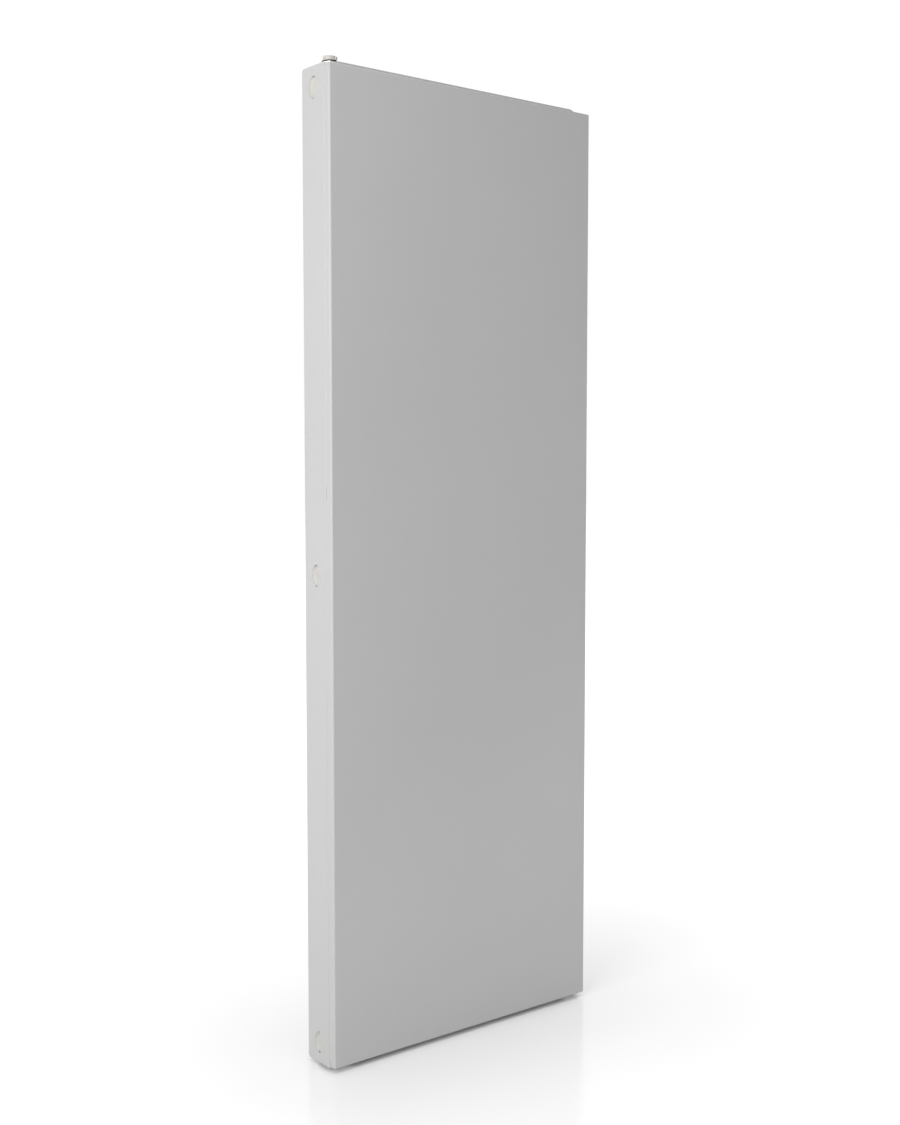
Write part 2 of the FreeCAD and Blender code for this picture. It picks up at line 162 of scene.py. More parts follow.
class RadiatorFinish(bpy.types.PropertyGroup):
    """Colours and gloss of the finishes."""
    coat: colour("Coat", "Powder coat of the steel", (0.65, 0.65, 0.646))
    coat_gloss: factor("Coat Roughness", "Roughness of the powder coat", 0.36)
    cap: colour("Cap", "Plastic of the caps", (0.675, 0.66, 0.625))
    cap_gloss: factor("Cap Roughness", "Roughness of the caps", 0.46)
    ivory: colour("Ivory", "Plastic of the vent's outlet", (0.78, 0.74, 0.67))
    ivory_gloss: factor("Ivory Roughness", "Roughness of the outlet", 0.36)
    nickel: colour("Nickel", "Plating of the plugs", (0.62, 0.60, 0.56))
    nickel_gloss: factor("Nickel Roughness", "Roughness of the plating", 0.24)
    brass: colour("Brass", "Brass of the bleed screw", (0.70, 0.52, 0.25))
    brass_gloss: factor("Brass Roughness", "Roughness of the brass", 0.30)
    zinc: colour("Zinc", "Zinc on the clips", (0.58, 0.59, 0.60))
    zinc_gloss: factor("Zinc Roughness", "Roughness of the zinc", 0.38)
    rubber: colour("Rubber", "Rubber of the vent's washer", (0.022, 0.022, 0.023))
    rubber_gloss: factor("Rubber Roughness", "Roughness of the washer", 0.62)


class RadiatorStage(bpy.types.PropertyGroup):
    """Camera, light and floor."""
    camera_place: point("Camera Place", "Where the camera stands", (-1.732, -2.1755, 1.114))
    camera_turn: FloatVectorProperty(name="Camera Turn", description="How the camera is turned",
                                     default=[math.radians(angle) for angle in (86.01, 0, -38.39)],
                                     subtype="EULER")
    lens: FloatProperty(name="Lens", description="Focal length in millimetres", default=46.05)
    sensor: FloatProperty(name="Sensor", description="Long side of the sensor in millimetres", default=36.0)
    ambient: colour("Ambient", "Light of the room on the object", (0.366, 0.368, 0.372))
    key_power: power("Key Power", "Power of the soft lamp on the left", 31.6)
    key_size: length("Key Size", "Side of the soft lamp on the left", 1.8)
    key_place: point("Key Place", "Where the left lamp hangs", (-2.4, -0.86, 1.7))
    key_aim: point("Key Aim", "Where the left lamp points", (0.0, 0.0, 0.95))
    fill_power: power("Fill Power", "Power of the weak lamp on the right", 6.0)
    fill_size: length("Fill Size", "Side of the weak lamp on the right", 1.4)
    fill_place: point("Fill Place", "Where the right lamp hangs", (2.3, 0.25, 1.1))
    fill_aim: point("Fill Aim", "Where the right lamp points", (0.31, 0.0, 0.7))
    top_strength: FloatProperty(name="Top Strength", description="Light that falls straight down",
                                default=0.9)
    top_angle: FloatProperty(name="Top Angle", description="Softness of the light from above",
                             default=math.radians(24), subtype="ANGLE")
    floor_side: length("Floor Side", "Side of the floor", 40.0)
    floor: colour("Floor", "Colour of the floor", (0.92, 0.92, 0.915))
    floor_gloss: factor("Floor Roughness", "Roughness of the floor", 0.14)
    floor_lift: factor("Floor Lift", "How much the floor is brightened towards white for the camera", 0.14)
    # Painted light: the floor is brightened more the further it lies from the radiator, so the ground round
    # the radiator stays darker as painted shade.
    far_lift: factor("Far Lift", "How much more the floor is brightened away from the radiator", 0.22)
    far_start: length("Far Start", "Where the further brightening begins", 0.15)
    far_end: length("Far End", "Where the further brightening is full", 1.3)
    # Painted contact shadow: inside these half sizes round the radiator's foot, and over the fade beyond them,
    # the floor's brightening is held back, so the ground there stays darker.
    contact: point("Contact", "Half of the darkest ground under the radiator", (0.258, 0.030, 0.0))
    contact_fade: length("Contact Fade", "Width over which the floor's brightening begins", 0.016)
    wall_distance: length("Wall Distance", "From the front plate to the grey wall it mirrors", 1.0)
    wall_width: length("Wall Width", "Width of the grey wall", 1.8)
    wall_left: span("Wall Left", "Lower and upper end of the grey wall's far side", (-0.9, 0.9))
    wall_right: span("Wall Right", "Lower and upper end of the grey wall's near side", (1.4, 4.0))
    wall: colour("Wall", "Colour of the grey wall", (0.06, 0.061, 0.064))
    wall_gloss: factor("Wall Roughness", "Roughness of the grey wall", 0.9)


def settings(context):
    """The pieces' sizes and finishes."""
    return context.scene.radiator_sizes, context.scene.radiator_finish


def new_piece(name, mesh):
    """Object at the origin that shows a mesh."""
    piece = bpy.data.objects.new(name, mesh)
    bpy.context.scene.collection.objects.link(piece)
    return piece


def drawn_piece(name, points, edges, faces):
    """Piece from listed points, edges and faces."""
    mesh = bpy.data.meshes.new(name)
    mesh.from_pydata(points, edges, faces)
    mesh.update()
    return new_piece(name, mesh)


def settle(piece):
    """Turns a piece and its modifiers into one plain mesh."""
    graph = bpy.context.evaluated_depsgraph_get()
    mesh = bpy.data.meshes.new_from_object(piece.evaluated_get(graph))
    drawn = piece.data
    piece.modifiers.clear()
    piece.data = mesh
    bpy.data.meshes.remove(drawn)
    mesh.name = piece.name


def round_edges(piece, width, segments):
    """Rounds a piece's sharp edges and keeps its flat faces flat in the shading."""
    piece.data.shade_smooth()
    bevel = piece.modifiers.new("Rounded Edges", "BEVEL")
    bevel.width = width
    bevel.segments = segments
    bevel.limit_method = "ANGLE"
    bevel.angle_limit = EDGE_ANGLE
    normals = piece.modifiers.new("Flat Faces", "WEIGHTED_NORMAL")
    normals.weight = FLAT_FACE_WEIGHT
    settle(piece)


def thicken(piece, sheet):
    """Gives a drawn surface the thickness of its sheet, half on each side."""
    wall = piece.modifiers.new("Sheet", "SOLIDIFY")
    wall.thickness = sheet
    wall.offset = 0.0
    wall.use_even_offset = True


def softened_copy(name, node, width, segments=EDGE_STEPS):
    """Copy of a solid with its triangles joined into flat faces and its edges rounded."""
    shell = bmesh.new()
    shell.from_mesh(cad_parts[node].data)
    bmesh.ops.remove_doubles(shell, verts=shell.verts, dist=MERGE_DISTANCE)
    bmesh.ops.dissolve_limit(shell, angle_limit=FLAT_ANGLE, verts=shell.verts, edges=shell.edges)
    mesh = bpy.data.meshes.new(name)
    shell.to_mesh(mesh)
    shell.free()
    piece = new_piece(name, mesh)
    round_edges(piece, width, segments)
    return piece


def hand_over(piece, material, slot, *nodes, body=RADIATOR):
    """Gives a finished piece its material and its place on a body of the frame."""
    piece.data.materials.clear()
    piece.data.materials.append(material)
    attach(piece, body)
    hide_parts(*nodes)


def shade_by_angle(piece):
    """Smooth shading that breaks at sharp edges."""
    piece.data.shade_smooth()
    piece.data.set_sharp_from_angle(angle=SMOOTH_ANGLE)


class Nodes:
    """Short way to lay out a node tree."""

    def __init__(self, tree):
        self.tree = tree

    def add(self, kind, inputs=None, **properties):
        """New node with its properties set and its inputs linked or filled."""
        node = self.tree.nodes.new(kind)
        for key, value in properties.items():
            setattr(node, key, value)
        for key, value in (inputs or {}).items():
            self.put(node.inputs[key], value)
        return node

    def put(self, socket, value):
        """Links a socket to another one, or sets its value."""
        if isinstance(value, bpy.types.NodeSocket):
            self.tree.links.new(value, socket)
        else:
            socket.default_value = value

    def math(self, operation, *values):
        """Result of one sum on sockets or numbers."""
        node = self.add("ShaderNodeMath", operation=operation)
        for socket, value in zip(node.inputs, values):
            self.put(socket, value)
        return node.outputs[0]

    def ramp(self, value, low, high, start, end, blend="LINEAR"):
        """Value carried from one range to another and held at its ends."""
        fields = {"Value": value, "From Min": low, "From Max": high, "To Min": start, "To Max": end}
        return self.add("ShaderNodeMapRange", fields, interpolation_type=blend).outputs[0]

    def total(self, values):
        """Sum of several values."""
        result = values[0]
        for value in values[1:]:
            result = self.math("ADD", result, value)
        return result


class ShapeTree(Nodes):
    """Geometry node tree with named inputs that ends in real geometry with a material."""

    def __init__(self, name, inputs):
        super().__init__(bpy.data.node_groups.new(name, "GeometryNodeTree"))
        face = self.tree.interface
        face.new_socket("Geometry", in_out="OUTPUT", socket_type="NodeSocketGeometry")
        face.new_socket("Geometry", in_out="INPUT", socket_type="NodeSocketGeometry")
        for label, kind in inputs.items():
            face.new_socket(label, in_out="INPUT", socket_type="NodeSocket" + kind)
        face.new_socket("Material", in_out="INPUT", socket_type="NodeSocketMaterial")
        self.inputs = self.add("NodeGroupInput").outputs

    def close(self, geometry):
        """Realizes the geometry, gives it the material and ends the tree."""
        smooth = self.add("GeometryNodeSetShadeSmooth", {"Geometry": geometry})
        real = self.add("GeometryNodeRealizeInstances", {"Geometry": smooth.outputs[0]})
        coated = self.add("GeometryNodeSetMaterial",
                          {"Geometry": real.outputs[0], "Material": self.inputs["Material"]})
        self.add("NodeGroupOutput", {"Geometry": coated.outputs[0]})
        return self.tree


def grow(piece, tree, values):
    """Puts a tree on a piece with its inputs set by their sockets' identifiers."""
    shape = piece.modifiers.new(tree.name, "NODES")
    shape.node_group = tree
    for item in tree.interface.items_tree:
        if item.in_out == "INPUT" and item.name in values:
            shape[item.identifier] = values[item.name]


def pressed_sheet_tree():
    """Sheet with a flat rim, headers and upright channels, drawn by its distance from rim and lands."""
    shape = ShapeTree("pressed_sheet", {
        "Width": "Float", "Height": "Float", "Channels": "Int", "Pitch": "Float", "Flange": "Float",
        "Header": "Float", "Corner": "Float", "Land": "Float", "Draft": "Float", "Depth": "Float",
        "Seam": "Float", "Side": "Float", "Columns": "Int", "Rows": "Int"})
    size = shape.inputs
    columns = shape.math("ADD", shape.math("MULTIPLY", size["Channels"], size["Columns"]), 1)
    grid = shape.add("GeometryNodeMeshGrid", {"Size X": 1.0, "Size Y": 1.0, "Vertices X": columns,
                                              "Vertices Y": size["Rows"]})
    place = shape.add("ShaderNodeSeparateXYZ",
                      {"Vector": shape.add("GeometryNodeInputPosition").outputs[0]}).outputs
    half_width = shape.math("MULTIPLY", size["Width"], 0.5)
    half_height = shape.math("MULTIPLY", size["Height"], 0.5)
    strip = shape.math("DIVIDE", size["Width"], size["Channels"])

    # Columns crowd together on the pressed walls beside each land: each zone takes a share of the columns
    # and a share of the channel's pitch
    land_columns, wall_columns, all_columns = 0.05, 0.35, 0.5
    land_share, wall_share, channel_share = 0.10, 0.12, 0.28
    step = shape.math("MULTIPLY", place["X"], size["Channels"])
    nearest = shape.math("ROUND", step)
    apart = shape.math("SUBTRACT", step, nearest)
    spread = shape.math("ABSOLUTE", apart)
    warped = shape.total([shape.ramp(spread, 0.0, land_columns, 0.0, land_share),
                          shape.ramp(spread, land_columns, wall_columns, 0.0, wall_share),
                          shape.ramp(spread, wall_columns, all_columns, 0.0, channel_share)])
    along = shape.math("MULTIPLY_ADD", shape.math("SIGN", apart), warped, nearest)
    across = shape.math("MULTIPLY", along, strip)

    # Rows crowd together at the two headers
    middle_rows, all_rows = 0.05, 0.5
    end_zone = shape.math("ADD", shape.math("ADD", size["Header"], size["Flange"]), size["Land"])
    rise = shape.math("ABSOLUTE", place["Y"])
    middle = shape.math("SUBTRACT", half_height, end_zone)
    level = shape.math("ADD", shape.ramp(rise, 0.0, middle_rows, 0.0, middle),
                       shape.ramp(rise, middle_rows, all_rows, 0.0, end_zone))
    upright = shape.math("SIGN", place["Y"])

    def beyond(value, half, inset):
        """How far a value lies past a line that is set in from the half size."""
        return shape.math("SUBTRACT", value, shape.math("SUBTRACT", half, inset))

    def hypotenuse(a, b):
        """Length of a slanting line from its two runs."""
        squares = shape.math("ADD", shape.math("MULTIPLY", a, a), shape.math("MULTIPLY", b, b))
        return shape.math("SQRT", squares)

    # The rim's corners are drawn in to their arcs
    out_x = shape.math("MAXIMUM", beyond(shape.math("ABSOLUTE", across), half_width, size["Corner"]), 0.0)
    out_z = shape.math("MAXIMUM", beyond(level, half_height, size["Corner"]), 0.0)
    reach = hypotenuse(out_x, out_z)
    excess = shape.math("SUBTRACT", reach, size["Corner"])
    cut = shape.math("DIVIDE", shape.math("MAXIMUM", excess, 0.0), shape.math("MAXIMUM", reach, TINY))
    in_x = shape.math("SUBTRACT", shape.math("ABSOLUTE", across), shape.math("MULTIPLY", out_x, cut))
    in_z = shape.math("SUBTRACT", level, shape.math("MULTIPLY", out_z, cut))
    outside = shape.add("GeometryNodeFieldOnDomain", {0: shape.math("GREATER_THAN", excess, 0.0)},
                        data_type="BOOLEAN", domain="POINT")
    trimmed = shape.add("GeometryNodeDeleteGeometry",
                        {"Geometry": grid.outputs["Mesh"], "Selection": outside.outputs[0]}, domain="FACE")

    # Height over the seam: nothing on the rim and the lands, full depth in the channels
    rim_corner = shape.math("SUBTRACT", size["Corner"], size["Flange"])
    inset = shape.math("ADD", size["Flange"], rim_corner)
    rim_x = beyond(in_x, half_width, inset)
    rim_z = beyond(in_z, half_height, inset)
    corner = hypotenuse(shape.math("MAXIMUM", rim_x, 0.0), shape.math("MAXIMUM", rim_z, 0.0))
    inner = shape.math("MINIMUM", shape.math("MAXIMUM", rim_x, rim_z), 0.0)
    from_rim = shape.math("SUBTRACT", rim_corner, shape.math("ADD", corner, inner))
    last_land = shape.math("SUBTRACT", shape.math("MULTIPLY", size["Channels"], 0.5), 1.0)
    land = shape.math("MINIMUM", shape.math("ROUND", shape.math("DIVIDE", in_x, size["Pitch"])), last_land)
    half_land = shape.math("MULTIPLY", size["Land"], 0.5)
    land_x = shape.math("SUBTRACT", in_x, shape.math("MULTIPLY", land, size["Pitch"]))
    land_end = shape.math("ADD", shape.math("ADD", size["Header"], size["Flange"]), half_land)
    land_z = shape.math("MAXIMUM", beyond(in_z, half_height, land_end), 0.0)
    from_land = shape.math("SUBTRACT", hypotenuse(land_x, land_z), half_land)
    nearest_edge = shape.math("MINIMUM", from_rim, from_land)
    height = shape.ramp(nearest_edge, 0.0, size["Draft"], 0.0, size["Depth"], "SMOOTHSTEP")
    spot = shape.add("ShaderNodeCombineXYZ", {
        "X": shape.math("MULTIPLY", shape.math("SIGN", across), in_x),
        "Y": shape.math("MULTIPLY_ADD", size["Side"], height, size["Seam"]),
        "Z": shape.math("MULTIPLY_ADD", upright, in_z, half_height)})
    moved = shape.add("GeometryNodeSetPosition",
                      {"Geometry": trimmed.outputs[0], "Position": spot.outputs[0]})
    return shape.close(moved.outputs[0])


def corrugated_tree():
    """Sheet folded up and down with one foot on each channel."""
    shape = ShapeTree("corrugated_sheet", {
        "Folds": "Int", "First": "Float", "Pitch": "Float", "Foot": "Float", "Draft": "Float",
        "Foot Level": "Float", "Crest Level": "Float", "Low": "Float", "Run": "Float", "Bend": "Float"})
    size = shape.inputs

    # Four corners to a fold: crest, foot, foot, crest; the sheet ends on the first and last foot
    fold_corners = 4
    between_feet, foot_reach = 1.5, 0.6
    count = shape.math("SUBTRACT", shape.math("MULTIPLY", size["Folds"], fold_corners), 2)
    line = shape.add("GeometryNodeMeshLine", {"Count": count})
    order = shape.math("ADD", shape.add("GeometryNodeInputIndex").outputs[0], 1)
    corner = shape.math("MODULO", order, fold_corners)
    fold = shape.math("FLOOR", shape.math("DIVIDE", order, fold_corners))
    on_foot = shape.math("COMPARE", corner, between_feet, foot_reach)
    side = shape.math("SIGN", shape.math("SUBTRACT", corner, between_feet))
    half = shape.math("ADD", shape.math("MULTIPLY", size["Foot"], 0.5),
                      shape.math("MULTIPLY", shape.math("SUBTRACT", 1.0, on_foot), size["Draft"]))
    centre = shape.math("MULTIPLY_ADD", fold, size["Pitch"], size["First"])
    rise = shape.math("SUBTRACT", size["Foot Level"], size["Crest Level"])
    spot = shape.add("ShaderNodeCombineXYZ", {
        "X": shape.math("MULTIPLY_ADD", side, half, centre),
        "Y": shape.math("MULTIPLY_ADD", on_foot, rise, size["Crest Level"]),
        "Z": size["Low"]})
    drawn = shape.add("GeometryNodeSetPosition", {"Geometry": line.outputs[0], "Position": spot.outputs[0]})
    return shape.close(swept(shape, drawn.outputs[0], size["Bend"],
                             shape.add("ShaderNodeCombineXYZ", {"Z": size["Run"]}).outputs[0]))


def folded_tree():
    """Strap swept from a drawn line whose corners are bent to a radius."""
    shape = ShapeTree("folded_strap", {"Bend": "Float", "Run": "Vector"})
    size = shape.inputs
    return shape.close(swept(shape, size["Geometry"], size["Bend"], size["Run"]))


def swept(shape, line, bend, run):
    """Surface made by moving a line with rounded corners along a run."""
    curve = shape.add("GeometryNodeMeshToCurve", {"Mesh": line})
    bent = shape.add("GeometryNodeFilletCurve", {"Curve": curve.outputs[0], "Count": BEND_STEPS,
                                                 "Radius": bend, "Limit Radius": True}, mode="POLY")
    wire = shape.add("GeometryNodeCurveToMesh", {"Curve": bent.outputs[0]})
    sheet = shape.add("GeometryNodeExtrudeMesh",
                      {"Mesh": wire.outputs[0], "Offset": run, "Offset Scale": 1.0}, mode="EDGES")
    return sheet.outputs["Mesh"]


def cap_row_tree():
    """The same cap at several heights."""
    shape = ShapeTree("cap_row", {"Count": "Int", "Start": "Vector", "Spacing": "Vector"})
    size = shape.inputs
    heights = shape.add("GeometryNodeMeshLine", {"Count": size["Count"], "Start Location": size["Start"],
                                                 "Offset": size["Spacing"]})
    caps = shape.add("GeometryNodeInstanceOnPoints",
                     {"Points": heights.outputs[0], "Instance": size["Geometry"]})
    return shape.close(caps.outputs[0])


def weld_row_tree():
    """Marks of spot welds in rows along the lands."""
    shape = ShapeTree("weld_marks", {
        "Columns": "Int", "Rows": "Int", "Pitch": "Float", "Spacing": "Float", "Centre": "Vector",
        "Turn": "Vector", "Radius": "Float", "Top": "Float", "Rise": "Float"})
    size = shape.inputs
    width = shape.math("MULTIPLY", size["Pitch"], shape.math("SUBTRACT", size["Columns"], 1))
    height = shape.math("MULTIPLY", size["Spacing"], shape.math("SUBTRACT", size["Rows"], 1))
    grid = shape.add("GeometryNodeMeshGrid", {"Size X": width, "Size Y": height,
                                              "Vertices X": size["Columns"], "Vertices Y": size["Rows"]})
    top = shape.math("MULTIPLY", size["Radius"], size["Top"])
    mark = shape.add("GeometryNodeMeshCone", {"Vertices": WELD_AROUND, "Depth": size["Rise"],
                                              "Radius Top": top, "Radius Bottom": size["Radius"]})
    marks = shape.add("GeometryNodeInstanceOnPoints", {"Points": grid.outputs["Mesh"],
                                                       "Instance": mark.outputs["Mesh"]})
    turned = shape.add("GeometryNodeTransform", {"Geometry": marks.outputs[0], "Rotation": size["Turn"],
                                                 "Translation": size["Centre"]})
    return shape.close(turned.outputs[0])


TREES = {}


def kept_tree(make):
    """A tree that is laid out once and used again."""
    if make not in TREES:
        TREES[make] = make()
    return TREES[make]


class Finish(Nodes):
    """Material on the piece's own coordinates."""
    pattern_low = 0.3
    pattern_high = 0.7

    def __init__(self, name, roughness, metallic=0.0):
        self.material = bpy.data.materials.new(name)
        self.material.use_nodes = True
        super().__init__(self.material.node_tree)
        self.shader = self.tree.nodes["Principled BSDF"].inputs
        self.shader["Roughness"].default_value = roughness
        self.shader["Metallic"].default_value = metallic
        self.place = self.add("ShaderNodeTexCoord").outputs["Object"]

    def noise(self, scale, detail=2.0, stretch=(1.0, 1.0, 1.0)):
        """Soft random pattern at so many waves to the metre."""
        spread = self.add("ShaderNodeMapping", {"Vector": self.place, "Scale": stretch})
        return self.add("ShaderNodeTexNoise", {"Vector": spread.outputs[0], "Scale": scale,
                                               "Detail": detail}).outputs["Fac"]

    def tint(self, pattern, base, spread):
        """Base colour that drifts a little with a pattern."""
        ramp = self.add("ShaderNodeValToRGB", {"Fac": pattern})
        places = (self.pattern_low, self.pattern_high)
        for stop, place, share in zip(ramp.color_ramp.elements, places, (1 - spread, 1 + spread)):
            stop.position = place
            stop.color = (*[min(1.0, part * share) for part in base], 1.0)
        self.put(self.shader["Base Color"], ramp.outputs["Color"])

    def gloss(self, pattern, base, less, more):
        """Roughness that drifts round its base with a pattern."""
        drift = self.ramp(pattern, self.pattern_low, self.pattern_high, base - less, base + more)
        self.put(self.shader["Roughness"], drift)

    def relief(self, pattern, distance, strength):
        """Fine bumps from a pattern."""
        bump = self.add("ShaderNodeBump", {"Height": pattern, "Distance": distance, "Strength": strength})
        self.put(self.shader["Normal"], bump.outputs["Normal"])


def powder_coat(finish):
    """Satin powder coat: a faint drift of tone and fine orange peel."""
    coat = Finish("powder_coat", finish.coat_gloss)
    coat.tint(coat.noise(scale=2.2), finish.coat, spread=0.012)
    coat.gloss(coat.noise(scale=35.0, detail=3.0), finish.coat_gloss, less=0.03, more=0.03)
    coat.relief(coat.noise(scale=620.0, detail=2.0), distance=0.00006, strength=0.35)
    return coat.material


def moulded_cap(finish):
    """Moulded plastic with a fine spark-eroded grain."""
    plastic = Finish("moulded_cap", finish.cap_gloss)
    plastic.tint(plastic.noise(scale=60.0), finish.cap, spread=0.02)
    plastic.gloss(plastic.noise(scale=180.0), finish.cap_gloss, less=0.05, more=0.05)
    plastic.relief(plastic.noise(scale=1800.0), distance=0.00004, strength=0.4)
    return plastic.material


def ivory_plastic(finish):
    """Smooth ivory plastic with faint flow lines."""
    plastic = Finish("ivory_plastic", finish.ivory_gloss)
    plastic.tint(plastic.noise(scale=150.0, detail=2.0, stretch=(1.0, 1.0, 3.0)), finish.ivory, spread=0.03)
    plastic.gloss(plastic.noise(scale=400.0), finish.ivory_gloss, less=0.05, more=0.05)
    plastic.relief(plastic.noise(scale=900.0), distance=0.00003, strength=0.3)
    return plastic.material


def nickel_plate(finish):
    """Nickel plating over turned and milled brass."""
    plate = Finish("nickel_plate", finish.nickel_gloss, metallic=1.0)
    plate.tint(plate.noise(scale=120.0, detail=3.0), finish.nickel, spread=0.06)
    marks = plate.noise(scale=260.0, detail=3.0, stretch=(1.0, 1.0, 14.0))
    plate.gloss(marks, finish.nickel_gloss, less=0.07, more=0.08)
    plate.relief(marks, distance=0.00003, strength=0.3)
    return plate.material


def plain_brass(finish):
    """Turned brass, a little tarnished."""
    metal = Finish("plain_brass", finish.brass_gloss, metallic=1.0)
    metal.tint(metal.noise(scale=240.0, detail=4.0), finish.brass, spread=0.14)
    marks = metal.noise(scale=320.0, detail=3.0, stretch=(1.0, 1.0, 12.0))
    metal.gloss(marks, finish.brass_gloss, less=0.08, more=0.10)
    metal.relief(marks, distance=0.00003, strength=0.35)
    return metal.material


def zinc_sheet(finish):
    """Zinc-plated sheet with its spangle."""
    sheet = Finish("zinc_sheet", finish.zinc_gloss, metallic=1.0)
    spangle = sheet.add("ShaderNodeTexVoronoi", {"Vector": sheet.place, "Scale": 160.0})
    grey = sheet.add("ShaderNodeRGBToBW", {"Color": spangle.outputs["Color"]}).outputs[0]
    sheet.tint(grey, finish.zinc, spread=0.12)
    sheet.gloss(grey, finish.zinc_gloss, less=0.08, more=0.08)
    sheet.relief(sheet.noise(scale=900.0), distance=0.00003, strength=0.25)
    return sheet.material


def black_rubber(finish):
    """Matt black rubber with dusty patches."""
    rubber = Finish("black_rubber", finish.rubber_gloss)
    rubber.tint(rubber.noise(scale=300.0, detail=3.0), finish.rubber, spread=0.3)
    rubber.gloss(rubber.noise(scale=500.0), finish.rubber_gloss, less=0.08, more=0.08)
    rubber.relief(rubber.noise(scale=1500.0), distance=0.00005, strength=0.4)
    return rubber.material


def kept_material(make, finish):
    """A material that is made once and used again."""
    return bpy.data.materials.get(make.__name__) or make(finish)


class RADIATOR_OT_front_plate(bpy.types.Operator):
    """Folded front plate with softly rounded edges"""
    bl_idname = "radiator.front_plate"
    bl_label = "Front Plate"

    def execute(self, context):
        sizes, finish = settings(context)
        plate = softened_copy("flat_front", "front_plate", sizes.edge)
        hand_over(plate, kept_material(powder_coat, finish), "coated_steel", "front_plate")
        return {"FINISHED"}


class RADIATOR_OT_side_covers(bpy.types.Operator):
    """Side covers with rounded rims at their cap openings"""
    bl_idname = "radiator.side_covers"
    bl_label = "Side Covers"

    def execute(self, context):
        sizes, finish = settings(context)
        for side_name in SIDES:
            node = side_name + "_side_cover"
            cover = softened_copy(side_name + "_cover", node, sizes.edge)
            hand_over(cover, kept_material(powder_coat, finish), "coated_steel", node)
        return {"FINISHED"}


def oval_point(sizes, angle, inset):
    """Point of the caps' oval, four tangent arcs, whose outward normal has an angle."""
    half_width = sizes.cap_width / 2
    lift = sizes.cap_height / 2 - sizes.cap_end
    end = sizes.cap_end
    flank = (half_width ** 2 + lift ** 2 - end ** 2) / (2 * (half_width - end))
    slant = math.atan2(lift, flank - half_width)
    across, up = math.cos(angle), math.sin(angle)
    if abs(up) > math.sin(slant):
        return Vector(((end - inset) * across, (end - inset) * up + math.copysign(lift, up)))
    shift = math.copysign(flank - half_width, across)
    return Vector(((flank - inset) * across - shift, (flank - inset) * up))


def cap_profile(sizes):
    """Steps of a cap from its hidden edge over its rounded rim to its sunken face: inset and height."""
    steps = [(sizes.cap_gap, -sizes.notch_depth)]
    for turn in range(CAP_RIM_STEPS + 1):
        angle = math.pi / 2 * turn / CAP_RIM_STEPS
        steps.append((sizes.cap_gap + sizes.cap_rim * (1 - math.cos(angle)),
                      sizes.cap_proud - sizes.cap_round * (1 - math.sin(angle))))
    crown = sizes.cap_gap + sizes.cap_rim + sizes.cap_crown
    for turn in range(CAP_SLOPE_STEPS + 1):
        share = turn / CAP_SLOPE_STEPS
        fall = share * share * (3 - 2 * share)
        steps.append((crown + sizes.cap_slope * share, sizes.cap_proud - sizes.cap_dish * fall))
    return steps


def cap_point(sizes, side, angle, inset, height):
    """Point of a cap's surface, lower where a notch is cut into its rim."""
    spot = oval_point(sizes, side * angle, inset)
    if abs(math.cos(angle)) * sizes.cap_end < sizes.notch_width / 2:
        height = min(height, sizes.cap_proud - sizes.notch_depth)
    return side * height, spot.x, spot.y


class RADIATOR_OT_caps(bpy.types.Operator):
    """Oval caps in the side covers, three on a side"""
    bl_idname = "radiator.caps"
    bl_label = "Caps"

    def execute(self, context):
        sizes, finish = settings(context)
        material = kept_material(moulded_cap, finish)
        for side_name, side in SIDES.items():
            node = side_name + "_caps"
            low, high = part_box(node)
            cover_low, cover_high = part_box(side_name + "_side_cover")
            face_x = max(abs(cover_low.x), abs(cover_high.x))
            middle = (low.z + high.z) / 2
            reach = (high.z - low.z) / 2 - sizes.cap_height / 2 - sizes.cap_hook
            caps = self.single_cap(side_name + "_oval_caps", sizes, side)
            grow(caps, kept_tree(cap_row_tree), {
                "Count": CAPS_ON_A_SIDE, "Spacing": (0.0, 0.0, reach), "Material": material,
                "Start": (side * face_x, (low.y + high.y) / 2, middle - reach - sizes.cap_drop)})
            settle(caps)
            shade_by_angle(caps)
            hand_over(caps, material, "cap_plastic", node)
        return {"FINISHED"}

    def single_cap(self, name, sizes, side):
        """Rings of points from a cap's hidden edge to its sunken face."""
        points = []
        faces = []
        steps = cap_profile(sizes)
        for inset, height in steps:
            for index in range(CAP_AROUND):
                angle = math.tau * (index + 0.5) / CAP_AROUND
                points.append(cap_point(sizes, side, angle, inset, height))
        for ring in range(len(steps) - 1):
            start = ring * CAP_AROUND
            for index in range(CAP_AROUND):
                after = (index + 1) % CAP_AROUND
                faces.append((start + index, start + after,
                              start + CAP_AROUND + after, start + CAP_AROUND + index))
        last = (len(steps) - 1) * CAP_AROUND
        faces.append(tuple(range(last, last + CAP_AROUND)))
        return drawn_piece(name, points, [], faces)


def first_channel(sizes):
    """Middle of the first channel, under the first foot of the convectors."""
    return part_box("front_convector")[0].x + sizes.convector_foot / 2


def channel_pitch(sizes):
    """Distance between the channels."""
    return -2 * first_channel(sizes) / (sizes.panel_channels - 1)


